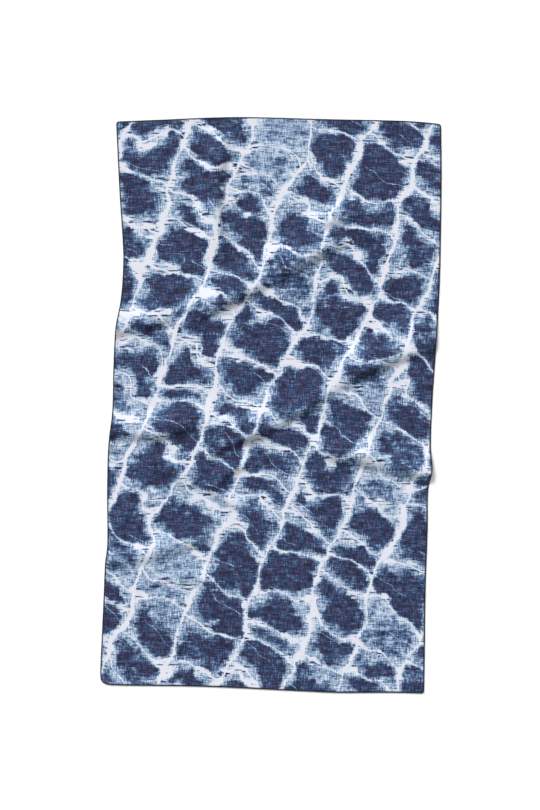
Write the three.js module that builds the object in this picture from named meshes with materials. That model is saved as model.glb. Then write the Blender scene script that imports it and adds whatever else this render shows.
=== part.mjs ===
// A printed travel towel that lies flat, right side up, with the soft folds of a cloth that was just spread out.
// Millimetres, +Z up, +Y towards the towel's top edge. The origin is on the surface, under the middle of its box.
import * as THREE from 'three';
import { mergeVertices } from 'three/addons/utils/BufferGeometryUtils.js';

// Driving dimensions
const CUT_WIDTH = 800;
const CUT_LENGTH = 1400;
const CLOTH_THICK = 1.5;
const EDGING_WIDE = 3.2;
const EDGING_THICK = 2.4;
const EDGING_SHOULDER = 0.9;
const SEAM_GAP = 0.3;

// How finely the cloth is divided. Most folds cross the towel, so the rows are closest where the folds are.
const COLUMNS = 32;
const ROW_BANDS = [
  { upTo: 0.34, rows: 17 },
  { upTo: 0.81, rows: 58 },
  { upTo: 1, rows: 9 },
];
const CREST_STEPS = 48;

// Where the outer edge lies in plan. Each row is a place that it passes through: x, y.
const LEFT_EDGE = [
  [-419.5, -683],
  [-421, -665],
  [-417, -566],
  [-413, -482],
  [-409, -393],
  [-404, -350],
  [-404, -210],
  [-401, -99],
  [-392, -27],
  [-388, 110],
  [-383, 190],
  [-370, 265],
  [-364, 360],
  [-367, 430],
  [-373, 520],
  [-382, 701],
];
const RIGHT_EDGE = [
  [378.4, -712],
  [380, -606],
  [382, -457],
  [387, -309],
  [389, -205],
  [398, -163],
  [395, -105],
  [399, 12],
  [407, 126],
  [412, 210],
  [417, 299],
  [420, 430],
  [421.6, 560],
  [420.5, 695],
];
const BOTTOM_EDGE = [
  [-419.5, -683],
  [-403, -690],
  [-380, -691.5],
  [-164, -695],
  [73, -706],
  [162, -710],
  [310, -710],
  [378.4, -712],
];
const TOP_EDGE = [
  [-382, 701],
  [-283, 705],
  [-90, 712],
  [132, 707],
  [350, 701.5],
  [420.5, 695],
];

// The folds, each a soft ridge. Going along a crest, back is the width of the gentle side on the left hand and
// lee that of the steep side on the right hand. Each crest row is x, y, height. A crest that runs off the cloth
// lifts its edge there.
const FOLDS = [
  {
    name: 'upper long fold',
    back: 90,
    lee: 27,
    crest: [
      [-240, 192, 0],
      [-200, 211, 5],
      [-152, 238, 10.5],
      [-114, 260, 16],
      [-82, 274, 15],
      [-47, 288, 11.5],
      [-10, 311, 7.5],
      [28, 333, 11.5],
      [62, 352, 15],
      [95, 368, 11.5],
      [124, 383, 15],
      [163, 402, 8.5],
      [190, 413, 4],
      [218, 424, 5.5],
      [247, 427, 5],
      [280, 430, 0],
    ],
  },
  {
    name: 'upper left fold',
    back: 66,
    lee: 25,
    crest: [
      [-430, 177, 6.5],
      [-375, 188, 8.5],
      [-335, 197, 8.5],
      [-304, 204, 13.5],
      [-280, 209, 11.5],
      [-252, 213, 4],
      [-225, 215, 0],
    ],
  },
  {
    name: 'middle long fold',
    back: 88,
    lee: 27,
    crest: [
      [-190, -146, 0],
      [-152, -119, 5.5],
      [-115, -95, 9.5],
      [-85, -82, 12.5],
      [-58, -72, 16],
      [-28, -62, 15],
      [-4, -52, 10.5],
      [22, -36, 8.5],
      [52, -18, 11.5],
      [84, -5, 12.5],
      [106, 10, 9.5],
      [138, 33, 6.5],
      [175, 59, 7.5],
      [218, 83, 14],
      [248, 96, 16],
      [276, 107, 14],
      [306, 120, 9.5],
      [338, 131, 10.5],
      [378, 146, 7.5],
      [430, 160, 5],
    ],
  },
  {
    name: 'left fold',
    back: 68,
    lee: 26,
    crest: [
      [-440, -62, 7.5],
      [-382, -65, 9.5],
      [-322, -68, 10.5],
      [-278, -68, 12],
      [-240, -57, 15],
      [-210, -49, 13],
      [-184, -45, 6.5],
      [-135, -39, 3],
      [-95, -36, 0],
    ],
  },
  {
    name: 'right fold',
    back: 70,
    lee: 27,
    crest: [
      [75, -100, 0],
      [122, -110, 5],
      [164, -121, 11.5],
      [202, -127, 15.5],
      [232, -132, 14.5],
      [262, -140, 10.5],
      [288, -146, 8.5],
      [316, -154, 14.5],
      [350, -161, 12.5],
      [386, -167, 12.5],
      [430, -172, 9.5],
    ],
  },
  {
    name: 'upper soft fold',
    back: 60,
    lee: 25,
    crest: [
      [-98, 318, 0],
      [-113, 360, 5],
      [-126, 400, 10],
      [-134, 448, 13],
      [-136, 490, 14],
      [-132, 548, 9],
      [-126, 605, 13],
      [-122, 648, 8],
      [-119, 692, 0],
    ],
  },
  {
    name: 'lower left fold',
    back: 54,
    lee: 28,
    crest: [
      [-440, -386, 3],
      [-397, -384, 5],
      [-329, -375, 5.5],
      [-248, -352, 6.5],
      [-190, -331, 6.5],
      [-135, -312, 0],
    ],
  },
  {
    name: 'short left fold',
    back: 44,
    lee: 23,
    crest: [
      [-320, -131, 0],
      [-292, -140, 7],
      [-266, -152, 9],
      [-236, -171, 8],
      [-205, -195, 4],
      [-175, -222, 0],
    ],
  },
  {
    name: 'short upper fold',
    back: 52,
    lee: 26,
    crest: [
      [85, 434, 0],
      [118, 448, 5.5],
      [152, 461, 9.5],
      [188, 468, 7.5],
      [235, 472, 0],
    ],
  },
  {
    name: 'short middle fold',
    back: 26,
    lee: 22,
    crest: [
      [-168, -216, 0],
      [-139, -190, 8],
      [-99, -158, 8],
      [-62, -142, 4],
      [-28, -130, 0],
    ],
  },
  {
    name: 'small crossing fold',
    back: 24,
    lee: 20,
    crest: [
      [-172, -194, 0],
      [-146, -208, 5],
      [-118, -226, 6],
      [-92, -241, 5],
      [-58, -258, 0],
    ],
  },
  {
    name: 'short lower fold',
    back: 40,
    lee: 30,
    crest: [
      [-262, -432, 0],
      [-210, -422, 4],
      [-150, -432, 4],
      [-98, -447, 0],
    ],
  },
];

// Materials
const panelCloth = new THREE.MeshStandardMaterial({ color: 0x66779f, roughness: 0.92, metalness: 0 });
const edgingThread = new THREE.MeshStandardMaterial({ color: 0x1e1f2c, roughness: 0.85, metalness: 0 });

// A curve through the rows of one edge, from its first corner to its last.
function edgeCurve(rows) {
  const points = rows.map(([x, y]) => new THREE.Vector3(x, y, 0));
  return new THREE.CatmullRomCurve3(points, false, 'centripetal');
}

const edges = {
  left: edgeCurve(LEFT_EDGE),
  right: edgeCurve(RIGHT_EDGE),
  bottom: edgeCurve(BOTTOM_EDGE),
  top: edgeCurve(TOP_EDGE),
};

// The place in plan of the cloth's point at share u of its width and share v of its length. The four edges are
// blended, so the cloth's threads follow the edge that they are near.
function placeOnSurface(u, v) {
  const left = edges.left.getPointAt(v);
  const right = edges.right.getPointAt(v);
  const bottom = edges.bottom.getPointAt(u);
  const top = edges.top.getPointAt(u);
  const between = (a, b, share) => a.clone().lerp(b, share);
  const cornerBlend = between(
    between(edges.bottom.getPointAt(0), edges.bottom.getPointAt(1), u),
    between(edges.top.getPointAt(0), edges.top.getPointAt(1), u),
    v,
  );
  return between(left, right, u).add(between(bottom, top, v)).sub(cornerBlend);
}

// Each fold's crest as a fine line of places, z being the fold's height there.
const foldLines = FOLDS.map(({ back, lee, crest }) => {
  const points = crest.map(([x, y, height]) => new THREE.Vector3(x, y, height));
  const line = new THREE.CatmullRomCurve3(points, false, 'centripetal').getPoints(CREST_STEPS);
  return { back, lee, line };
});

// A soft bump that is 1 on the crest and falls smoothly to 0 at the foot of the fold.
function bump(share) {
  return share < 1 ? (1 - share * share) ** 2 : 0;
}

// How far one fold lifts the cloth over the place x, y.
function foldLift({ back, lee, line }, x, y) {
  let nearest = Infinity;
  let lift = 0;
  for (let i = 1; i < line.length; i += 1) {
    const start = line[i - 1];
    const run = line[i].clone().sub(start);
    const toX = x - start.x;
    const toY = y - start.y;
    const share = THREE.MathUtils.clamp((toX * run.x + toY * run.y) / (run.x ** 2 + run.y ** 2), 0, 1);
    const distance = Math.hypot(toX - share * run.x, toY - share * run.y);
    if (distance < nearest) {
      nearest = distance;
      const onLeftHand = run.x * toY - run.y * toX > 0;
      const height = Math.max(0, start.z + share * run.z);
      lift = height * bump(distance / (onLeftHand ? back : lee));
    }
  }
  return lift;
}

// The height of the cloth's underside over the surface it lies on.
function underside(x, y) {
  return foldLines.reduce((sum, fold) => sum + foldLift(fold, x, y), 0);
}

// The same thickness measured straight up, which is more where the cloth slopes.
function thicknessUpright(x, y) {
  const STEP = 1;
  const slopeX = (underside(x + STEP, y) - underside(x - STEP, y)) / (2 * STEP);
  const slopeY = (underside(x, y + STEP) - underside(x, y - STEP)) / (2 * STEP);
  return CLOTH_THICK * Math.hypot(1, slopeX, slopeY);
}

// A closed solid through a row of sections. Each section has as many places along its upper side as along its
// lower side, both listed the same way across.
function solidThrough(sections) {
  const positions = [];
  const quad = (a, b, c, d) => {
    for (const point of [a, b, c, a, c, d]) {
      positions.push(point.x, point.y, point.z);
    }
  };
  for (let j = 1; j < sections.length; j += 1) {
    const near = sections[j - 1];
    const far = sections[j];
    const last = near.upper.length - 1;
    for (let i = 1; i <= last; i += 1) {
      quad(near.upper[i - 1], near.upper[i], far.upper[i], far.upper[i - 1]);
      quad(far.lower[i - 1], far.lower[i], near.lower[i], near.lower[i - 1]);
    }
    quad(near.lower[0], near.upper[0], far.upper[0], far.lower[0]);
    quad(far.lower[last], far.upper[last], near.upper[last], near.lower[last]);
  }
  const cap = ({ upper, lower }, turned) => {
    for (let i = 1; i < upper.length; i += 1) {
      const corners = [lower[i - 1], lower[i], upper[i], upper[i - 1]];
      quad(...(turned ? corners.reverse() : corners));
    }
  };
  cap(sections[0], false);
  cap(sections[sections.length - 1], true);

  const geometry = new THREE.BufferGeometry();
  geometry.setAttribute('position', new THREE.Float32BufferAttribute(positions, 3));
  const merged = mergeVertices(geometry, 1e-3);
  merged.computeVertexNormals();
  return merged;
}

// The panel ends where the edging begins, a seam's gap inside the outer edge.
const insetU = (EDGING_WIDE + SEAM_GAP) / CUT_WIDTH;
const insetV = (EDGING_WIDE + SEAM_GAP) / CUT_LENGTH;

const columnStops = Array.from({ length: COLUMNS + 1 }, (_, i) => insetU + (1 - 2 * insetU) * (i / COLUMNS));

function rowStops() {
  const shares = [0];
  let from = 0;
  for (const { upTo, rows } of ROW_BANDS) {
    for (let i = 1; i <= rows; i += 1) {
      shares.push(from + (upTo - from) * (i / rows));
    }
    from = upTo;
  }
  return shares.map((share) => insetV + (1 - 2 * insetV) * share);
}

function panelGeometry() {
  const section = (v) => {
    const places = columnStops.map((u) => placeOnSurface(u, v));
    const lower = places.map(({ x, y }) => new THREE.Vector3(x, y, underside(x, y)));
    const upper = lower.map(({ x, y, z }) => new THREE.Vector3(x, y, z + thicknessUpright(x, y)));
    return { upper, lower };
  };
  return solidThrough(rowStops().map(section));
}

// One side's edging: a low bead of thread that follows the edge over the folds. stops are shares along the side,
// and at gives the cloth's point for a share along the side and a distance in from the outer edge.
function edgingGeometry(stops, at) {
  const distances = [0, EDGING_WIDE / 2, EDGING_WIDE];
  const heights = [EDGING_SHOULDER, EDGING_THICK, EDGING_SHOULDER];
  const section = (share) => {
    const middle = at(share, EDGING_WIDE / 2);
    const level = underside(middle.x, middle.y);
    const places = distances.map((distance) => at(share, distance));
    const lower = places.map(({ x, y }) => new THREE.Vector3(x, y, level));
    const upper = lower.map(({ x, y, z }, i) => new THREE.Vector3(x, y, z + heights[i]));
    return { upper, lower };
  };
  return solidThrough(stops.map(section));
}

const acrossTheWidth = [0, ...columnStops, 1];
const alongTheLength = rowStops();
const EDGING = {
  edging_bottom: {
    stops: [...acrossTheWidth].reverse(),
    at: (share, inwards) => placeOnSurface(share, inwards / CUT_LENGTH),
  },
  edging_top: {
    stops: acrossTheWidth,
    at: (share, inwards) => placeOnSurface(share, 1 - inwards / CUT_LENGTH),
  },
  edging_left: {
    stops: alongTheLength,
    at: (share, inwards) => placeOnSurface(inwards / CUT_WIDTH, share),
  },
  edging_right: {
    stops: [...alongTheLength].reverse(),
    at: (share, inwards) => placeOnSurface(1 - inwards / CUT_WIDTH, share),
  },
};

function addMesh(group, name, geometry, material) {
  const mesh = new THREE.Mesh(geometry, material);
  mesh.name = name;
  group.add(mesh);
}

const towel = new THREE.Group();
addMesh(towel, 'towel_panel', panelGeometry(), panelCloth);
for (const [name, { stops, at }] of Object.entries(EDGING)) {
  addMesh(towel, name, edgingGeometry(stops, at), edgingThread);
}

export default towel;
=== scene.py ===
"""A printed travel towel that lies flat, right side up, in soft folds.

Metres, +Z up, +Y towards the towel's top edge. The cloth, its dark thread edging and the dyed pattern are
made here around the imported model. The pattern is indigo tie dye in the traditional way: white rivers lean
across the cloth, thin veins cross them, and the dye fills the rounded cells between.
"""

import math

import bpy
import numpy as np
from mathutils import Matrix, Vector


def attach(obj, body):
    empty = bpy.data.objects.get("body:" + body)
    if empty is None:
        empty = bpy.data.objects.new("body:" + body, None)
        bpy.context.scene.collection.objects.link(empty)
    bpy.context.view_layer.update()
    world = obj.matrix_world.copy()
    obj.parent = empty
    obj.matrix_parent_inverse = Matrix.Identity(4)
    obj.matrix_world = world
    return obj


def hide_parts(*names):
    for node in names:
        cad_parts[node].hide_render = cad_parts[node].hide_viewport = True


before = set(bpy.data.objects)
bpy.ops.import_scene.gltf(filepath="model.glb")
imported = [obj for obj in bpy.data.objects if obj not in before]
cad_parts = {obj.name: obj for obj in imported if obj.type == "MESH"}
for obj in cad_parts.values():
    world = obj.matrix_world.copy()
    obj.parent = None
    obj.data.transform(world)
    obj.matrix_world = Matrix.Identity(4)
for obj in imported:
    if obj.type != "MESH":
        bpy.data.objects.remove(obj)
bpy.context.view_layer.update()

# Driving dimensions
CUT_WIDTH = 0.800
CUT_LENGTH = 1.400
CLOTH_THICK = 0.0014
GRID_STEP = 0.005
CORNER_ROUND = 0.0015
RIM_LIFT_REACH = 0.015
REST_GAP = 0.0002

EDGING_WIDE = 0.0034
EDGING_THICK = 0.0023
EDGING_OUTSIDE = 0.0007
RIM_SOFTEN = 0.003

# The thread wound round the rim. Each wrap is one full ring and one thinner ring, the groove before the next.
# The fatness varies from wrap to wrap, by a share, and a little of that shows in the width.
WRAP_PITCH = 0.00115
WRAP_RINGS = 2
WRAP_SIDES = 10
WRAP_SEED = 7
WRAP_FAT_SPREAD = 0.035
WRAP_FAT_IN_WIDTH = 0.1
WRAP_SLIP_SPREAD = 0.00008
WRAP_GROOVE = 0.80
WRAP_ROUNDNESS = 0.7
WRAP_LEAN = 0.5

# The straight stitches beside it. The swell is each ring's share of the thickness, from end to end, and the
# gap is how far their middle lies inside the edging, in thicknesses.
STITCH_PITCH = 0.0026
STITCH_LONG = 0.0021
STITCH_THICK = 0.0005
STITCH_SWELL = (0.35, 1.0, 1.0, 0.35)
STITCH_SIDES = 6
STITCH_GAP = 0.6

# Where the towel's outer edge lies in plan. Each row is a place that it passes through: x, y.
LEFT_EDGE = (
    (-0.4195, -0.683),
    (-0.421, -0.665),
    (-0.417, -0.566),
    (-0.413, -0.482),
    (-0.409, -0.393),
    (-0.404, -0.350),
    (-0.404, -0.210),
    (-0.401, -0.099),
    (-0.392, -0.027),
    (-0.388, 0.110),
    (-0.383, 0.190),
    (-0.370, 0.265),
    (-0.364, 0.360),
    (-0.367, 0.430),
    (-0.373, 0.520),
    (-0.382, 0.701),
)
RIGHT_EDGE = (
    (0.3784, -0.712),
    (0.380, -0.606),
    (0.382, -0.457),
    (0.387, -0.309),
    (0.389, -0.205),
    (0.398, -0.163),
    (0.395, -0.105),
    (0.399, 0.012),
    (0.407, 0.126),
    (0.412, 0.210),
    (0.417, 0.299),
    (0.420, 0.430),
    (0.4216, 0.560),
    (0.4205, 0.695),
)
BOTTOM_EDGE = (
    (-0.4195, -0.683),
    (-0.403, -0.690),
    (-0.380, -0.6915),
    (-0.164, -0.695),
    (0.073, -0.706),
    (0.162, -0.710),
    (0.310, -0.710),
    (0.3784, -0.712),
)
TOP_EDGE = (
    (-0.382, 0.701),
    (-0.283, 0.705),
    (-0.090, 0.712),
    (0.132, 0.707),
    (0.350, 0.7015),
    (0.4205, 0.695),
)

# The folds that the solids have too. Going along a crest, back is the width of the gentle side on the left
# hand and lee that of the steep side on the right hand. Each crest row is x, y, height.
FOLDS = (
    # name, back, lee, crest
    ("upper long fold", 0.090, 0.027, (
        (-0.240, 0.192, 0.000),
        (-0.200, 0.211, 0.005),
        (-0.152, 0.238, 0.0105),
        (-0.114, 0.260, 0.016),
        (-0.082, 0.274, 0.015),
        (-0.047, 0.288, 0.0115),
        (-0.010, 0.311, 0.0075),
        (0.028, 0.333, 0.0115),
        (0.062, 0.352, 0.015),
        (0.095, 0.368, 0.0115),
        (0.124, 0.383, 0.015),
        (0.163, 0.402, 0.0085),
        (0.190, 0.413, 0.004),
        (0.218, 0.424, 0.0055),
        (0.247, 0.427, 0.005),
        (0.280, 0.430, 0.000),
    )),
    ("upper left fold", 0.066, 0.025, (
        (-0.430, 0.177, 0.0065),
        (-0.375, 0.188, 0.0085),
        (-0.335, 0.197, 0.0085),
        (-0.304, 0.204, 0.0135),
        (-0.280, 0.209, 0.0115),
        (-0.252, 0.213, 0.004),
        (-0.225, 0.215, 0.000),
    )),
    ("middle long fold", 0.088, 0.027, (
        (-0.190, -0.146, 0.000),
        (-0.152, -0.119, 0.0055),
        (-0.115, -0.095, 0.0095),
        (-0.085, -0.082, 0.0125),
        (-0.058, -0.072, 0.016),
        (-0.028, -0.062, 0.015),
        (-0.004, -0.052, 0.0105),
        (0.022, -0.036, 0.0085),
        (0.052, -0.018, 0.0115),
        (0.084, -0.005, 0.0125),
        (0.106, 0.010, 0.0095),
        (0.138, 0.033, 0.0065),
        (0.175, 0.059, 0.0075),
        (0.218, 0.083, 0.014),
        (0.248, 0.096, 0.016),
        (0.276, 0.107, 0.014),
        (0.306, 0.120, 0.0095),
        (0.338, 0.131, 0.0105),
        (0.378, 0.146, 0.0075),
        (0.430, 0.160, 0.005),
    )),
    ("left fold", 0.068, 0.026, (
        (-0.440, -0.062, 0.0075),
        (-0.382, -0.065, 0.0095),
        (-0.322, -0.068, 0.0105),
        (-0.278, -0.068, 0.012),
        (-0.240, -0.057, 0.015),
        (-0.210, -0.049, 0.013),
        (-0.184, -0.045, 0.0065),
        (-0.135, -0.039, 0.003),
        (-0.095, -0.036, 0.000),
    )),
    ("right fold", 0.070, 0.027, (
        (0.075, -0.100, 0.000),
        (0.122, -0.110, 0.005),
        (0.164, -0.121, 0.0115),
        (0.202, -0.127, 0.0155),
        (0.232, -0.132, 0.0145),
        (0.262, -0.140, 0.0105),
        (0.288, -0.146, 0.0085),
        (0.316, -0.154, 0.0145),
        (0.350, -0.161, 0.0125),
        (0.386, -0.167, 0.0125),
        (0.430, -0.172, 0.0095),
    )),
    ("upper soft fold", 0.060, 0.025, (
        (-0.098, 0.318, 0.000),
        (-0.113, 0.360, 0.005),
        (-0.126, 0.400, 0.010),
        (-0.134, 0.448, 0.013),
        (-0.136, 0.490, 0.014),
        (-0.132, 0.548, 0.009),
        (-0.126, 0.605, 0.013),
        (-0.122, 0.648, 0.008),
        (-0.119, 0.692, 0.000),
    )),
    ("lower left fold", 0.054, 0.028, (
        (-0.440, -0.386, 0.003),
        (-0.397, -0.384, 0.005),
        (-0.329, -0.375, 0.0055),
        (-0.248, -0.352, 0.0065),
        (-0.190, -0.331, 0.0065),
        (-0.135, -0.312, 0.000),
    )),
    ("short left fold", 0.044, 0.023, (
        (-0.320, -0.131, 0.000),
        (-0.292, -0.140, 0.007),
        (-0.266, -0.152, 0.009),
        (-0.236, -0.171, 0.008),
        (-0.205, -0.195, 0.004),
        (-0.175, -0.222, 0.000),
    )),
    ("short upper fold", 0.052, 0.026, (
        (0.085, 0.434, 0.000),
        (0.118, 0.448, 0.0055),
        (0.152, 0.461, 0.0095),
        (0.188, 0.468, 0.0075),
        (0.235, 0.472, 0.000),
    )),
    ("short middle fold", 0.026, 0.022, (
        (-0.168, -0.216, 0.000),
        (-0.139, -0.190, 0.008),
        (-0.099, -0.158, 0.008),
        (-0.062, -0.142, 0.004),
        (-0.028, -0.130, 0.000),
    )),
    ("small crossing fold", 0.024, 0.020, (
        (-0.172, -0.194, 0.000),
        (-0.146, -0.208, 0.005),
        (-0.118, -0.226, 0.006),
        (-0.092, -0.241, 0.005),
        (-0.058, -0.258, 0.000),
    )),
    ("short lower fold", 0.040, 0.030, (
        (-0.262, -0.432, 0.000),
        (-0.210, -0.422, 0.004),
        (-0.150, -0.432, 0.004),
        (-0.098, -0.447, 0.000),
    )),
)

# Small creases that only show from near by, in the same form.
CREASES = (
    # name, back, lee, crest
    ("pinch under the upper left fold", 0.012, 0.007, (
        (-0.240, 0.207, 0.0000),
        (-0.215, 0.198, 0.0022),
        (-0.196, 0.195, 0.0018),
        (-0.172, 0.190, 0.0000),
    )),
    ("pinch across the middle fold", 0.010, 0.008, (
        (0.098, 0.018, 0.0000),
        (0.118, 0.004, 0.0020),
        (0.130, -0.010, 0.0022),
        (0.138, -0.030, 0.0000),
    )),
    ("second crossing pinch", 0.010, 0.008, (
        (0.100, -0.018, 0.0000),
        (0.124, -0.006, 0.0018),
        (0.150, -0.008, 0.0015),
        (0.172, -0.020, 0.0000),
    )),
    ("line above the right fold", 0.014, 0.009, (
        (0.150, -0.112, 0.0000),
        (0.190, -0.118, 0.0016),
        (0.240, -0.126, 0.0014),
        (0.285, -0.134, 0.0000),
    )),
)


# Shapes

def line_through(rows, steps=40):
    """A smooth line through the rows, as many close places: a centripetal Catmull-Rom curve."""
    rows = np.asarray(rows, float)
    rows = np.vstack((2 * rows[0] - rows[1], rows, 2 * rows[-1] - rows[-2]))
    share = np.linspace(0, 1, steps, endpoint=False)[:, None]
    line = []
    for p0, p1, p2, p3 in zip(rows, rows[1:], rows[2:], rows[3:]):
        t1 = np.linalg.norm(p1 - p0) ** 0.5
        t2 = t1 + np.linalg.norm(p2 - p1) ** 0.5
        t3 = t2 + np.linalg.norm(p3 - p2) ** 0.5
        t = t1 + share * (t2 - t1)
        a1 = p0 + (p1 - p0) * t / t1
        a2 = p1 + (p2 - p1) * (t - t1) / (t2 - t1)
        a3 = p2 + (p3 - p2) * (t - t2) / (t3 - t2)
        b1 = a1 + (a2 - a1) * t / t2
        b2 = a2 + (a3 - a2) * (t - t1) / (t3 - t1)
        line.append(b1 + (b2 - b1) * (t - t1) / (t2 - t1))
    return np.vstack((*line, rows[-2]))


def along(line, shares):
    """The places at these shares of a line's length."""
    length = np.concatenate(([0], np.cumsum(np.linalg.norm(np.diff(line, axis=0), axis=1))))
    at = np.asarray(shares) * length[-1]
    return np.stack([np.interp(at, length, line[:, k]) for k in range(line.shape[1])], axis=-1)


def plan_grid(columns, rows):
    """Where the cloth's threads lie in plan: the four edges blended, rows by columns."""
    u = np.linspace(0, 1, columns + 1)
    v = np.linspace(0, 1, rows + 1)
    left, right = (along(line_through(edge), v)[:, None] for edge in (LEFT_EDGE, RIGHT_EDGE))
    bottom, top = (along(line_through(edge), u)[None] for edge in (BOTTOM_EDGE, TOP_EDGE))
    across = u[None, :, None]
    up = v[:, None, None]
    corners = (
        (1 - up) * ((1 - across) * bottom[:, :1] + across * bottom[:, -1:])
        + up * ((1 - across) * top[:, :1] + across * top[:, -1:])
    )
    return (1 - across) * left + across * right + (1 - up) * bottom + up * top - corners


def fold_lift(x, y, back, lee, crest):
    """How far one fold lifts the cloth over each place: fully on its crest, and not at all past its feet."""
    line = line_through(crest, steps=12)
    lift = np.zeros_like(x)
    reach = max(back, lee)
    low = line[:, :2].min(0) - reach
    high = line[:, :2].max(0) + reach
    near = (x > low[0]) & (x < high[0]) & (y > low[1]) & (y < high[1])
    px, py = x[near], y[near]
    best = np.full_like(px, np.inf)
    found = np.zeros_like(px)
    for start, end in zip(line, line[1:]):
        run = end - start
        to_x, to_y = px - start[0], py - start[1]
        share = np.clip((to_x * run[0] + to_y * run[1]) / (run[0] ** 2 + run[1] ** 2), 0, 1)
        distance = np.hypot(to_x - share * run[0], to_y - share * run[1])
        side = np.where(run[0] * to_y - run[1] * to_x > 0, back, lee)
        bump = np.clip(1 - (distance / side) ** 2, 0, None) ** 2
        height = np.maximum(0, start[2] + share * run[2])
        closer = distance < best
        best = np.where(closer, distance, best)
        found = np.where(closer, height * bump, found)
    lift[near] = found
    return lift


def cloth_middle():
    """The middle of the cloth's thickness as a grid of places, and the way its right side faces there."""
    columns = round(CUT_WIDTH / GRID_STEP)
    rows = round(CUT_LENGTH / GRID_STEP)
    plan = plan_grid(columns, rows)
    # Each corner is drawn in a little, so that it isn't sharp.
    for row, column in ((0, 0), (0, -1), (-1, 0), (-1, -1)):
        inwards = plan[rows // 2, columns // 2] - plan[row, column]
        plan[row, column] += np.sign(inwards) * CORNER_ROUND
    x, y = plan[..., 0], plan[..., 1]
    height = sum(fold_lift(x, y, back, lee, crest) for _, back, lee, crest in FOLDS + CREASES)
    # The thread under the rim holds it a little off the surface.
    from_rim = GRID_STEP * np.minimum(
        np.minimum(np.arange(columns + 1), np.arange(columns, -1, -1))[None, :],
        np.minimum(np.arange(rows + 1), np.arange(rows, -1, -1))[:, None],
    )
    rim_lift = (EDGING_THICK - CLOTH_THICK) / 2 * np.exp(-(from_rim / RIM_LIFT_REACH) ** 2)
    middle = np.dstack((x, y, height + rim_lift + CLOTH_THICK / 2 + REST_GAP))
    normal = np.cross(np.gradient(middle, axis=1), np.gradient(middle, axis=0))
    normal /= np.linalg.norm(normal, axis=2, keepdims=True)
    return middle, normal


def add_mesh(name, places, faces):
    """A new smooth object with these places and faces."""
    mesh = bpy.data.meshes.new(name)
    faces = np.asarray(faces, np.int32)
    places = np.asarray(places, np.float32).reshape(-1, 3)
    sides = faces.shape[1]
    mesh.vertices.add(len(places))
    mesh.vertices.foreach_set("co", places.ravel())
    mesh.loops.add(faces.size)
    mesh.loops.foreach_set("vertex_index", faces.ravel())
    mesh.polygons.add(len(faces))
    mesh.polygons.foreach_set("loop_start", np.arange(0, faces.size, sides, dtype=np.int32))
    mesh.update(calc_edges=True)
    mesh.polygons.foreach_set("use_smooth", np.ones(len(faces), bool))
    piece = bpy.data.objects.new(name, mesh)
    bpy.context.scene.collection.objects.link(piece)
    return piece


def grid_faces(rows, columns, wrap_rows=False, wrap_columns=False):
    """The four-sided faces of a grid, rows by columns, as place numbers. A wrap closes the grid to a ring."""
    number = np.arange(rows * columns).reshape(rows, columns)
    if wrap_rows:
        number = np.vstack((number, number[:1]))
    if wrap_columns:
        number = np.hstack((number, number[:, :1]))
    corners = (number[:-1, :-1], number[:-1, 1:], number[1:, 1:], number[1:, :-1])
    return np.stack([c.ravel() for c in corners], axis=1)


def rim_numbers(rows, columns):
    """The place numbers round the grid's rim, anticlockwise from its first corner, each once."""
    number = np.arange(rows * columns).reshape(rows, columns)
    return np.concatenate((number[0, :-1], number[:-1, -1], number[-1, :0:-1], number[:0:-1, 0]))


# Where the second map lays the right side, the back and the rim: from and to, across and up.
FRONT_MAP = ((0.000, 0.620), (0.0, 1.0))
BACK_MAP = ((0.640, 1.000), (0.0, 1.0))
RIM_MAP = ((0.625, 0.635), (0.0, 1.0))


def towel_cloth(middle, normal):
    """The towel's one sheet of cloth, with its right side, its back and its raw rim."""
    rows, columns = middle.shape[:2]
    count = rows * columns
    half = normal * CLOTH_THICK / 2
    places = np.concatenate(((middle + half).reshape(-1, 3), (middle - half).reshape(-1, 3)))
    front = grid_faces(rows, columns)
    back = front[:, ::-1] + count
    rim = rim_numbers(rows, columns)
    after = np.roll(rim, -1)
    edge = np.stack((after, rim, rim + count, after + count), axis=1)
    cloth = add_mesh("towel_cloth", places, np.concatenate((front, back, edge)))

    # The cloth's own flat places, in metres, carry the print.
    u, v = np.meshgrid(np.linspace(0, 1, columns), np.linspace(0, 1, rows))
    share = np.tile(np.stack((u.ravel(), v.ravel()), axis=1), (2, 1))
    flat = share * (CUT_WIDTH, CUT_LENGTH)
    corners = np.empty(len(cloth.data.loops), np.int32)
    cloth.data.loops.foreach_get("vertex_index", corners)
    cloth.data.uv_layers.new(name="Cloth").data.foreach_set("uv", flat[corners].astype(np.float32).ravel())

    # A second map lays the right side, the back and the rim side by side without overlap.
    def placed(part, box):
        low, high = np.array(box).T
        return low + part * (high - low)

    round_rim = np.linspace(0, 1, len(rim) + 1)
    rim_share = np.stack((
        np.stack((np.ones(len(rim)), round_rim[1:]), axis=1),
        np.stack((np.ones(len(rim)), round_rim[:-1]), axis=1),
        np.stack((np.zeros(len(rim)), round_rim[:-1]), axis=1),
        np.stack((np.zeros(len(rim)), round_rim[1:]), axis=1),
    ), axis=1)
    laid = np.concatenate((
        placed(share[front.ravel()], FRONT_MAP),
        placed(share[back.ravel()] * (-1, 1) + (1, 0), BACK_MAP),
        placed(rim_share.reshape(-1, 2), RIM_MAP),
    ))
    cloth.data.uv_layers.new(name="OFBake").data.foreach_set("uv", laid.astype(np.float32).ravel())
    side = np.concatenate((np.zeros(len(front)), np.ones(len(back) + len(edge)))).astype(np.int32)
    cloth.data.polygons.foreach_set("material_index", side)
    return cloth


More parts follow.
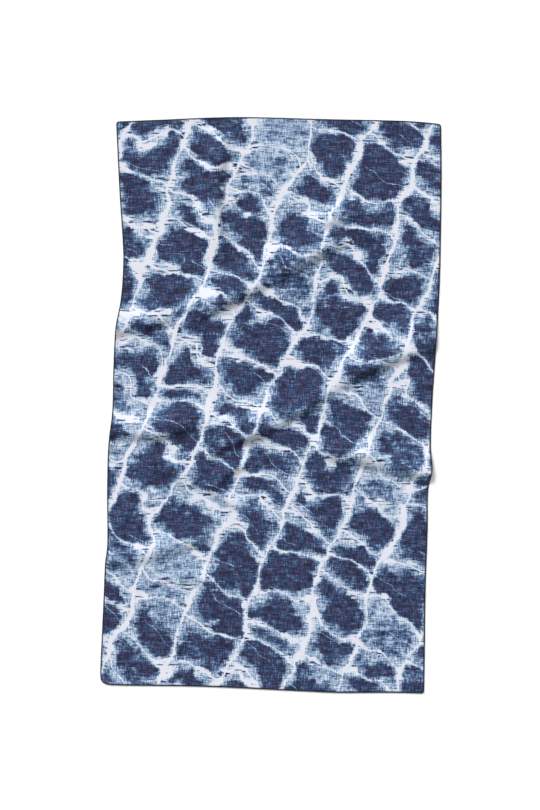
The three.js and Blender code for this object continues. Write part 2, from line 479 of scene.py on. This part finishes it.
def rim_line(middle, normal):
    """The cloth's rim as a closed line: its places, the way the cloth faces there, and the length so far."""
    rows, columns = middle.shape[:2]
    rim = rim_numbers(rows, columns)
    places = middle.reshape(-1, 3)[rim]
    facing = normal.reshape(-1, 3)[rim]
    closed = np.vstack((places, places[:1]))
    length = np.concatenate(([0], np.cumsum(np.linalg.norm(np.diff(closed, axis=0), axis=1))))
    return closed, np.vstack((facing, facing[:1])), length


def rim_stations(middle, normal, pitch):
    """Evenly spaced stations round the rim, pitch apart: place, facing, inwards and onwards for each."""
    places, facing, length = rim_line(middle, normal)
    count = round(length[-1] / pitch)
    at = np.arange(count) * length[-1] / count

    def sample(values, where):
        where = np.mod(where, length[-1])
        return np.stack([np.interp(where, length, values[:, k]) for k in range(3)], axis=1)

    # The place is evened out with its neighbours on both sides, so that the thread takes no sharp turn.
    before = sample(places, at - RIM_SOFTEN)
    after = sample(places, at + RIM_SOFTEN)
    place = (before + 2 * sample(places, at) + after) / 4
    onward = after - before
    onward /= np.linalg.norm(onward, axis=1, keepdims=True)
    up = sample(facing, at)
    inward = np.cross(up, onward)
    inward /= np.linalg.norm(inward, axis=1, keepdims=True)
    up = np.cross(onward, inward)
    return place, up, inward, onward


def edging_band(middle, normal):
    """The overlocked edging: one thread wrapped closely over the raw rim, all the way round."""
    place, up, inward, onward = rim_stations(middle, normal, WRAP_PITCH / WRAP_RINGS)
    count = len(place) - len(place) % WRAP_RINGS
    place, up, inward, onward = place[:count], up[:count], inward[:count], onward[:count]
    draw = np.random.default_rng(WRAP_SEED)
    wraps = count // WRAP_RINGS
    fat = np.repeat(draw.normal(1, WRAP_FAT_SPREAD, wraps), WRAP_RINGS)
    fat[1::WRAP_RINGS] *= WRAP_GROOVE
    slip = np.repeat(draw.normal(0, WRAP_SLIP_SPREAD, wraps), WRAP_RINGS)
    turn = np.linspace(0, 2 * math.pi, WRAP_SIDES, endpoint=False)

    # A flattened round section. Its upper side leans onwards and its lower side back, as a wound thread does.
    wide = np.cos(turn) * EDGING_WIDE / 2
    thick = np.sign(np.sin(turn)) * np.abs(np.sin(turn)) ** WRAP_ROUNDNESS * EDGING_THICK / 2
    lean = np.sin(turn) * WRAP_PITCH * WRAP_LEAN
    centre = EDGING_WIDE / 2 - EDGING_OUTSIDE
    widening = 1 - WRAP_FAT_IN_WIDTH + WRAP_FAT_IN_WIDTH * fat
    out_and_in = centre + wide[None, :] * widening[:, None] + slip[:, None]
    up_and_down = thick[None, :] * fat[:, None]
    ring = (
        place[:, None]
        + inward[:, None] * out_and_in[:, :, None]
        + up[:, None] * up_and_down[:, :, None]
        + onward[:, None] * lean[None, :, None]
    )
    return add_mesh("edging_band", ring, grid_faces(count, WRAP_SIDES, True, True)[:, ::-1])


def edging_stitches(middle, normal):
    """The line of straight stitches that holds the edging, on the right side and on the back."""
    rings = len(STITCH_SWELL)
    place, up, inward, onward = rim_stations(middle, normal, STITCH_PITCH)
    along_stitch = np.linspace(-0.5, 0.5, rings) * STITCH_LONG
    swell = np.array(STITCH_SWELL) * STITCH_THICK / 2
    turn = np.linspace(0, 2 * math.pi, STITCH_SIDES, endpoint=False)
    outward = swell[:, None] * np.cos(turn)[None, :]
    upward = swell[:, None] * np.sin(turn)[None, :]
    inset = EDGING_WIDE - EDGING_OUTSIDE + STITCH_THICK * STITCH_GAP
    pieces = []
    for face in (1, -1):
        centre = place + inward * inset + up * face * CLOTH_THICK / 2
        ring = (
            centre[:, None, None]
            + onward[:, None, None] * along_stitch[None, :, None, None]
            + inward[:, None, None] * outward[None, :, :, None]
            + up[:, None, None] * upward[None, :, :, None]
        )
        pieces.append(ring.reshape(-1, 3))
    tube = grid_faces(rings, STITCH_SIDES, False, True)[:, ::-1]
    cap = np.array([[0, 1, 2, 3], [0, 3, 4, 5]])
    one = np.concatenate((tube, cap, cap[:, ::-1] + (rings - 1) * STITCH_SIDES))
    first = np.arange(2 * len(place)) * rings * STITCH_SIDES
    faces = (one[None] + first[:, None, None]).reshape(-1, 4)
    return add_mesh("edging_stitches", np.concatenate(pieces), faces)


# Materials

BUMP_DISTANCE = 0.0006
BUMP_STRENGTH = 0.5
SHEEN_ROUGHNESS = 0.6

# The noises that the materials are mixed from. A shift only picks another stretch of the same noise.
NOISES = {
    # name: size of its patches across and up, shift, detail, roughness
    "tilt": (0.140, 0.140, 8.8, 1.0, 0.5),
    "broad": (0.250, 0.250, 91.0, 1.0, 0.5),
    "river width": (0.075, 0.075, 21.0, 2.0, 0.5),
    "vein width": (0.085, 0.055, 33.0, 2.0, 0.5),
    "threads across": (0.019, 0.0028, 41.0, 2.0, 0.6),
    "threads up": (0.0028, 0.019, 47.0, 2.0, 0.6),
    "speckle": (0.0034, 0.0034, 53.0, 2.0, 0.5),
    "slow edges": (0.060, 0.050, 61.0, 2.0, 0.5),
    "streaks": (0.055, 0.008, 109.0, 2.0, 0.5),
    "mottle": (0.026, 0.026, 67.0, 4.0, 0.6),
    "stains": (0.060, 0.024, 71.0, 2.0, 0.5),
    "slivers": (0.046, 0.0062, 97.0, 1.0, 0.5),
    "hairlines": (0.110, 0.110, 103.0, 1.0, 0.5),
    "plum": (0.020, 0.020, 83.0, 4.0, 0.7),
    "pile": (0.0007, 0.0007, 2.0, 2.0, 0.5),
    "fibre": (0.0012, 0.0012, 4.0, 2.0, 0.5),
    "wide wander": (0.250, 0.250, 3.1, 1.0, 0.5),
    "wander": (0.070, 0.070, 11.7, 1.0, 0.5),
    "fraying": (0.012, 0.012, 5.3, 2.0, 0.5),
}


def linear(red, green, blue):
    """A colour as it is seen, 0 to 255, as the linear light that materials mix, by the sRGB curve."""
    def channel(seen):
        seen /= 255
        return seen / 12.92 if seen <= 0.04045 else ((seen + 0.055) / 1.055) ** 2.4
    return (channel(red), channel(green), channel(blue), 1.0)


class Paint:
    """A material whose pattern is written as arithmetic on Fields."""

    def __init__(self, name, roughness, specular, sheen):
        self.material = bpy.data.materials.new(name)
        self.material.use_nodes = True
        self.tree = self.material.node_tree
        self.shader = self.tree.nodes["Principled BSDF"]
        self.shader.inputs["Roughness"].default_value = roughness
        self.shader.inputs["Specular IOR Level"].default_value = specular
        self.shader.inputs["Sheen Weight"].default_value = sheen
        self.shader.inputs["Sheen Roughness"].default_value = SHEEN_ROUGHNESS

    def node(self, kind, fed, output=0, **settings):
        """The output of a new node. fed gives its inputs, by number or by name, as Fields or values."""
        made = self.tree.nodes.new(kind)
        for name, value in settings.items():
            setattr(made, name, value)
        for place, value in fed.items():
            if isinstance(value, Field):
                self.tree.links.new(value.socket, made.inputs[place])
            else:
                made.inputs[place].default_value = value
        return Field(self, made.outputs[output])

    def place(self):
        """The place on the flat cloth, in metres."""
        return self.node("ShaderNodeUVMap", {}, uv_map="Cloth")

    def show(self, colour, bump):
        """Gives the material this colour and this fine relief."""
        self.tree.links.new(colour.socket, self.shader.inputs["Base Color"])
        fed = {"Height": bump, "Distance": BUMP_DISTANCE, "Strength": BUMP_STRENGTH}
        self.tree.links.new(self.node("ShaderNodeBump", fed).socket, self.shader.inputs["Normal"])


class Field:
    """A number, colour or place that varies over a material."""

    def __init__(self, paint, socket):
        self.paint = paint
        self.socket = socket

    def math(self, operation, *others):
        fed = dict(enumerate((self, *others)))
        return self.paint.node("ShaderNodeMath", fed, operation=operation)

    def __add__(self, other):
        return self.math("ADD", other)

    def __sub__(self, other):
        return self.math("SUBTRACT", other)

    def __mul__(self, other):
        return self.math("MULTIPLY", other)

    def __truediv__(self, other):
        return self.math("DIVIDE", other)

    def floor(self):
        return self.math("FLOOR")

    def abs(self):
        return self.math("ABSOLUTE")

    def rest_of_1(self):
        """What this number lacks of 1."""
        return self * -1 + 1.0

    def at_least(self, other):
        return self.math("MAXIMUM", other)

    def smooth_min(self, other, distance):
        """The lesser of two numbers, with the change between them rounded over this distance."""
        return self.math("SMOOTH_MIN", other, distance)

    def step(self, low, high):
        """0 below low and 1 above high, with a smooth rise between. A low above high turns it round."""
        fed = {"Value": self, "From Min": low, "From Max": high}
        return self.paint.node("ShaderNodeMapRange", fed, interpolation_type="SMOOTHSTEP")

    def noise(self, name, output="Fac"):
        """The noise of this name over these places: a number of about 0.5, or a colour of such numbers."""
        across, up, shift, detail, roughness = NOISES[name]
        fed = {0: self, 1: (1 / across, 1 / up, 1.0), 2: (shift, shift, shift)}
        scaled = self.paint.node("ShaderNodeVectorMath", fed, operation="MULTIPLY_ADD")
        fed = {"Vector": scaled, "Scale": 1.0, "Detail": detail, "Roughness": roughness}
        return self.paint.node("ShaderNodeTexNoise", fed, output=output, noise_dimensions="2D")

    def to_cell_edge(self):
        """How far this number is from the nearest edge between uneven cells of about 1."""
        fed = {"W": self, "Scale": 1.0, "Randomness": 1.0}
        kind = {"voronoi_dimensions": "1D", "feature": "DISTANCE_TO_EDGE"}
        return self.paint.node("ShaderNodeTexVoronoi", fed, output="Distance", **kind)

    def cell_lot(self):
        """A lot from 0 to 1 that each of those cells draws."""
        fed = {"W": self, "Scale": 1.0, "Randomness": 1.0}
        kind = {"voronoi_dimensions": "1D", "feature": "F1"}
        drawn = self.paint.node("ShaderNodeTexVoronoi", fed, output="Color", **kind)
        return self.paint.node("ShaderNodeSeparateColor", {"Color": drawn}, output="Red")

    def moved(self, by, amount):
        """A place moved by a colour noise, at most about this many metres."""
        centred = self.paint.node("ShaderNodeVectorMath", {0: by, 1: (0.5, 0.5, 0.5)}, operation="SUBTRACT")
        fed = {0: centred, 1: (amount, amount, 0.0), 2: self}
        return self.paint.node("ShaderNodeVectorMath", fed, operation="MULTIPLY_ADD")

    def dot(self, x, y):
        """How far a place lies along this direction, times the direction's length."""
        fed = {0: self, 1: (x, y, 0.0)}
        return self.paint.node("ShaderNodeVectorMath", fed, output="Value", operation="DOT_PRODUCT")

    def colours(self, stops):
        """The colour that this number has on a ramp of stops: share, colour."""
        made = self.paint.node("ShaderNodeValToRGB", {"Fac": self})
        ramp = made.socket.node.color_ramp
        while len(ramp.elements) < len(stops):
            ramp.elements.new(1.0)
        for element, (share, colour) in zip(ramp.elements, stops):
            element.position = share
            element.color = colour
        return made

    def blend(self, other, share):
        """This colour with this share of the other one. Sockets 6 and 7 are the node's two colours."""
        fed = {"Factor": share, 6: self, 7: other}
        return self.paint.node("ShaderNodeMix", fed, output=2, data_type="RGBA")


# The dye's layout, in metres of the flat cloth. The rivers lean, and veins and hairlines cross from one to
# the next. Rises, tilts, starts and what lies between columns are in cells. Paler is a share of the depth.
RIVER_LEAN = math.radians(19)
RIVER_PITCH = 0.1386
RIVER_HALF = 0.0002
RIVER_WIDENS = 0.011
CELL_PITCH = 0.094
VEIN_HALF = -0.0005
VEIN_WIDENS = 0.018
VEIN_RISE = 0.20
VEIN_TILT = 1.1
VEIN_COLUMNS_APART = 37.7
CORNER_FILL = 0.046
HAIRLINE_HALF = 0.0003
HAIRLINE_FADES = 0.0015
HAIRLINE_RISE = 0.36
HAIRLINE_TILT = 0.4
HAIRLINE_COLUMNS_APART = 43.0
HAIRLINE_START = 21.4
HAIRLINE_PALER = 0.52

# How far each wander moves the lines at most. The finest frays every outline.
WANDERS = (("wide wander", 0.085), ("wander", 0.034), ("fraying", 0.004))

# Where the print is paler: a slope over the flat cloth, and its value at the bottom left corner.
PALER_SLOPE = (-0.20, 0.10)
PALER_START = 0.05

# Where the dye starts beside a line, how far the threads fray that, and how far in it comes to its depth.
DYE_STARTS = (-0.0015, 0.0050)
DYE_FRAYS = 0.0028
DYE_DEEPENS = 0.007
DYE_DEEPENS_SLOWLY = 0.018

# Depths of dye, from 0 for undyed cloth to 1. A well dyed cell is deeper at its edge too, by EDGE_DEPTH_MORE,
# and a pale cell keeps only PALE_CELL_SHARE of the depth farther in.
EDGE_DEPTH = 0.17
EDGE_DEPTH_MORE = 0.10
CELL_DEPTH = 0.50
PALE_CELL_SHARE = 0.30
STAIN_DEPTH = 0.30
SLIVER_DEPTH = 0.80

# The clean line in the middle of a stained vein or river: half of a vein's in metres, a river's as a share of
# its width, and how each fades out.
CLEAN_VEIN_HALF = 0.0006
CLEAN_VEIN_FADES = 0.0026
CLEAN_RIVER_SHARE = 0.45
CLEAN_RIVER_FADES = 0.0050
CLEAN_RIVER_FRAYS = 0.0020

# How strongly the threads show, and where: a little everywhere, and most where the dye is halfway.
THREAD_CONTRAST = 2.8
SPECKLE_CONTRAST = 1.4
SWING_EVERYWHERE = 0.030
SWING_ON_DYE = 0.15
SWING_HALFWAY = 0.45

# Where each of these, with what is mixed into it, begins to count and where it counts in full. Any other
# factor in a sum below is how much of that part goes into the mix.
COUNTS = {
    "river width": (0.38, 0.78),
    "vein width": (0.45, 0.76),
    "slow edges": (0.36, 0.66),
    "stains": (0.40, 0.66),
    "slivers": (0.60, 0.68),
    "hairlines": (0.43, 0.52),
    "full depth": (0.0, 1.30),
    "well dyed": (-0.04, 0.15),
    "on dye": (0.0, 0.30),
    "deep plum": (0.56, 0.88),
    "bare cloth": (-0.09, 0.02),
}


def weave(place):
    """How much more dye each thread draws, or less, about 0."""
    drawn = (place.noise("threads across") + place.noise("threads up") - 1.0) * THREAD_CONTRAST
    return drawn + (place.noise("speckle") - 0.5) * SPECKLE_CONTRAST


def lines(place):
    """How far each place is from its river, its vein and its hairline, and the lot that its cell draws."""
    bent = place
    for name, most in WANDERS:
        bent = bent.moved(place.noise(name, output="Color"), most)
    across = bent.dot(math.cos(RIVER_LEAN) / RIVER_PITCH, -math.sin(RIVER_LEAN) / RIVER_PITCH)
    upward = bent.dot(math.sin(RIVER_LEAN) / CELL_PITCH, math.cos(RIVER_LEAN) / CELL_PITCH)
    column = across.floor()
    share = across - column
    to_river = ((share - 0.5).abs() * -1 + 0.5) * RIVER_PITCH

    # Veins and hairlines cross each column at heights of its own.
    tilt = place.noise("tilt")
    vein = upward + share * VEIN_RISE + tilt * VEIN_TILT + column * VEIN_COLUMNS_APART
    hairline = upward + share * HAIRLINE_RISE + tilt * HAIRLINE_TILT + column * HAIRLINE_COLUMNS_APART
    hairline = hairline + HAIRLINE_START
    return to_river, vein.to_cell_edge() * CELL_PITCH, hairline.to_cell_edge() * CELL_PITCH, vein.cell_lot()


def cell_depth(place, inside, lot, broad, paler, threads):
    """How deep the dye is inside the cells, and how far each place is in one, from 0 to 1.

    The dye comes to its full depth at once beside some lines and slowly beside others. Some cells took hardly
    any, so they are pale bands.
    """
    slow = (place.noise("slow edges") + broad * 0.4).step(*COUNTS["slow edges"])
    start = (inside + threads * DYE_FRAYS).step(*DYE_STARTS)
    streaks = place.noise("streaks") - 0.5
    mottle = place.noise("mottle") - 0.5 + streaks * 0.5
    way_in = inside / (slow * DYE_DEEPENS_SLOWLY + DYE_DEEPENS)
    deep = (way_in + mottle * 0.8 + threads * 0.13).step(*COUNTS["full depth"])
    deep = deep * (mottle * 0.35 + CELL_DEPTH)
    dyed = (lot - paler * 0.4 + mottle * 0.25).step(*COUNTS["well dyed"])
    deep = deep * (dyed * (1 - PALE_CELL_SHARE) + PALE_CELL_SHARE)
    return start * (deep + dyed * EDGE_DEPTH_MORE + EDGE_DEPTH + streaks * 0.25), start


def line_depth(place, to_river, river_half, to_vein, broad, threads):
    """How deep the dye is between the cells: stains and thin dark slivers beside each line's clean middle."""
    from_clean = to_river - river_half * CLEAN_RIVER_SHARE + threads * CLEAN_RIVER_FRAYS
    off_river = from_clean.step(0.0, CLEAN_RIVER_FADES)
    off_line = (to_vein - CLEAN_VEIN_HALF).step(0.0, CLEAN_VEIN_FADES) * off_river
    stained = (place.noise("stains") + broad * 0.5 + threads * 0.06).step(*COUNTS["stains"])
    slivers = place.noise("slivers").step(*COUNTS["slivers"])
    return (off_line * stained * STAIN_DEPTH).at_least(slivers * off_line * SLIVER_DEPTH)


def towards_plum(place, depth):
    """How far the colour leans from blue to plum: in the deepest dye, on bare cloth, and here and there."""
    patches = place.noise("plum") - 0.5
    deepest = (depth + patches * 1.1).step(*COUNTS["deep plum"])
    bare = (depth * -1 + patches * 0.16).step(*COUNTS["bare cloth"]) * 0.8
    return deepest.at_least(bare).at_least(patches * 1.5 + 0.25)


def indigo_dye(place):
    """The print at each place: the dye's depth from 0 to 1, how far it leans to plum, and the threads."""
    threads = weave(place)
    to_river, to_vein, to_hairline, lot = lines(place)

    # The lines have uneven widths, wider where the dye took less. Where they meet, the corners are filled.
    paler = place.dot(*PALER_SLOPE) + PALER_START
    broad = place.noise("broad") - 0.5
    river_width = place.noise("river width") + broad * 0.3 + paler * 0.4
    river_half = river_width.step(*COUNTS["river width"]) * RIVER_WIDENS + RIVER_HALF
    vein_width = place.noise("vein width") + broad * 0.4 + paler * 0.5
    vein_half = vein_width.step(*COUNTS["vein width"]) * VEIN_WIDENS + VEIN_HALF
    inside = (to_river - river_half).smooth_min(to_vein - vein_half, CORNER_FILL)

    cells, start = cell_depth(place, inside, lot, broad, paler, threads)
    between = line_depth(place, to_river, river_half, to_vein, broad, threads) * start.rest_of_1()
    hairline = to_hairline.step(HAIRLINE_FADES, HAIRLINE_HALF)
    hairline = hairline * place.noise("hairlines").step(*COUNTS["hairlines"])
    depth = cells * (hairline * -HAIRLINE_PALER + 1.0) + between

    on_dye = depth.step(*COUNTS["on dye"]) * SWING_ON_DYE
    swing = on_dye + depth * depth.rest_of_1() * SWING_HALFWAY + SWING_EVERYWHERE
    return depth + threads * swing, towards_plum(place, depth), threads


# How far the print has paled on the back, and how much of the threads' relief is added to the pile's.
BACK_FADE = 0.62
THREAD_RELIEF = 0.4

# How bright the studio makes a flat white, how much of that is gloss, and the least light a colour keeps.
LIGHT_ON_FLAT = 1.05
GLOSS_SEEN = 0.013
LEAST_LIGHT = 0.002

# The dye's colours from undyed cloth to the deepest, where it leans to blue and where it leans to plum.
DYE = (
    # share, towards blue, towards plum
    (0.00, (226, 235, 246), (237, 235, 244)),
    (0.12, (204, 219, 235), (218, 217, 231)),
    (0.28, (153, 181, 209), (171, 184, 209)),
    (0.45, (100, 129, 166), (114, 131, 164)),
    (0.62, (67, 90, 128), (80, 89, 123)),
    (0.78, (47, 64, 97), (60, 62, 93)),
    (0.90, (38, 52, 78), (54, 52, 75)),
    (1.00, (30, 40, 60), (44, 40, 59)),
)


def own_colour(seen):
    """The cloth's own colour, where this one is seen under the studio's light with its gloss on top."""
    light = linear(*seen)[:3]
    return (*(max(LEAST_LIGHT, part - GLOSS_SEEN) / LIGHT_ON_FLAT for part in light), 1.0)


def printed_cloth(name, fade):
    """The printed microfibre. fade is how far the print has paled to undyed cloth, as it has on the back."""
    paint = Paint(name, roughness=0.62, specular=0.40, sheen=0.0)
    place = paint.place()
    depth, plum, threads = indigo_dye(place)
    to_blue = depth.colours([(share, own_colour(blue)) for share, blue, _ in DYE])
    to_plum = depth.colours([(share, own_colour(warm)) for share, _, warm in DYE])
    colour = to_blue.blend(to_plum, plum)
    if fade:
        colour = colour.blend(own_colour(DYE[0][2]), fade)
    pile = place.noise("pile") + threads * THREAD_RELIEF
    paint.show(colour, bump=pile)
    return paint.material


# The edging thread as it is seen, between its fibres and on them.
THREAD_DARK = (22, 24, 34)
THREAD_LIGHT = (38, 41, 56)


def edging_thread():
    """Near-black thread, a little lighter where its fibres catch the light."""
    paint = Paint("edging_thread", roughness=0.8, specular=0.25, sheen=0.1)
    place = paint.node("ShaderNodeTexCoord", {}, output="Object")
    fibre = place.noise("fibre")
    colour = fibre.colours(((0.3, linear(*THREAD_DARK)), (0.7, linear(*THREAD_LIGHT))))
    paint.show(colour, bump=fibre)
    return paint.material


# The stage, in metres. The lens and its sensor are in millimetres.

LENS = 85
SENSOR = 36
FRAME_HEIGHT = 2.003
CAMERA_OVER = (-0.0020, 0.0008)

FLOOR_SIZE = 60
FLOOR_BELOW = 0.0002
FLOOR_WHITE = 0.95
FLOOR_GLOW = 0.08
WALL_RADIUS = 28
WALL_HEIGHT = 60
WALL_SIDES = 64

# The sun shines in this direction. The sky's strength rises by its swing towards its brighter side.
SUN_STRENGTH = 2.90
SUN_ANGLE = math.radians(20)
SUN_SHINES = (0.369, -0.753, -0.545)
SKY_COLOUR = (0.97, 0.98, 1.0, 1)
SKY_STRENGTH = 0.56
SKY_SWING = 0.60
SKY_BRIGHTER = (-0.44, 0.90, 0.0)


def stage_white(name, white, glow):
    """A dull material of this whiteness that gives this much light of its own."""
    material = bpy.data.materials.new(name)
    material.use_nodes = True
    inputs = material.node_tree.nodes["Principled BSDF"].inputs
    inputs["Base Color"].default_value = (white, white, white, 1)
    inputs["Roughness"].default_value = 1.0
    inputs["Specular IOR Level"].default_value = 0.0
    inputs["Emission Color"].default_value = (1, 1, 1, 1)
    inputs["Emission Strength"].default_value = glow
    return material


def white_floor():
    """The white floor, just below the towel."""
    bpy.ops.mesh.primitive_plane_add(size=FLOOR_SIZE, location=(0, 0, -FLOOR_BELOW))
    floor = bpy.context.object
    floor.name = "floor"
    floor.data.materials.append(stage_white("floor_white", FLOOR_WHITE, FLOOR_GLOW))


def white_wall():
    """A white wall far round the floor, for views from low down. It lights nothing and isn't reflected."""
    bpy.ops.mesh.primitive_cylinder_add(
        radius=WALL_RADIUS, depth=WALL_HEIGHT, vertices=WALL_SIDES, end_fill_type="NOTHING"
    )
    wall = bpy.context.object
    wall.name = "backdrop"
    wall.data.materials.append(stage_white("backdrop_white", 0.0, 1.0))
    wall.visible_diffuse = False
    wall.visible_glossy = False
    wall.visible_transmission = False
    wall.visible_shadow = False


def key_light():
    """A large soft sun, low at the upper left. Its gloss is left out, because it would veil the dark dye."""
    sun = bpy.data.lights.new("key", "SUN")
    sun.energy = SUN_STRENGTH
    sun.angle = SUN_ANGLE
    lamp = bpy.data.objects.new("key", sun)
    lamp.rotation_euler = Vector(SUN_SHINES).to_track_quat("-Z", "Y").to_euler()
    lamp.visible_glossy = False
    bpy.context.scene.collection.objects.link(lamp)


def pale_sky():
    """Pale light from all round, stronger from the upper left, which darkens the far side of each fold."""
    world = bpy.data.worlds.new("world")
    world.use_nodes = True
    nodes = world.node_tree.nodes
    links = world.node_tree.links
    outward = nodes.new("ShaderNodeTexCoord")
    brighter = nodes.new("ShaderNodeVectorMath")
    brighter.operation = "DOT_PRODUCT"
    brighter.inputs[1].default_value = SKY_BRIGHTER
    links.new(outward.outputs["Generated"], brighter.inputs[0])
    strength = nodes.new("ShaderNodeMath")
    strength.operation = "MULTIPLY_ADD"
    strength.inputs[1].default_value = SKY_SWING
    strength.inputs[2].default_value = SKY_STRENGTH
    links.new(brighter.outputs["Value"], strength.inputs[0])
    nodes["Background"].inputs["Color"].default_value = SKY_COLOUR
    links.new(strength.outputs[0], nodes["Background"].inputs["Strength"])
    bpy.context.scene.world = world


def overhead_camera():
    """The camera, straight above, so far up that the picture's height on the floor is FRAME_HEIGHT."""
    lens = bpy.data.cameras.new("camera")
    lens.lens = LENS
    lens.sensor_width = SENSOR
    camera = bpy.data.objects.new("camera", lens)
    camera.location = (*CAMERA_OVER, FRAME_HEIGHT / 2 * LENS / (SENSOR / 2))
    bpy.context.scene.collection.objects.link(camera)
    bpy.context.scene.camera = camera
    bpy.context.scene.view_settings.view_transform = "Standard"


# The scene

white_floor()
white_wall()
key_light()
pale_sky()
overhead_camera()

middle, normal = cloth_middle()
cloth = towel_cloth(middle, normal)
cloth.data.materials.append(printed_cloth("printed_cloth", 0))
cloth.data.materials.append(printed_cloth("printed_cloth_back", BACK_FADE))
band = edging_band(middle, normal)
stitches = edging_stitches(middle, normal)
thread = edging_thread()
band.data.materials.append(thread)
stitches.data.materials.append(thread)

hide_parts("towel_panel")
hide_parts("edging_bottom", "edging_top", "edging_left", "edging_right")
for piece in (cloth, band, stitches):
    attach(piece, "root")
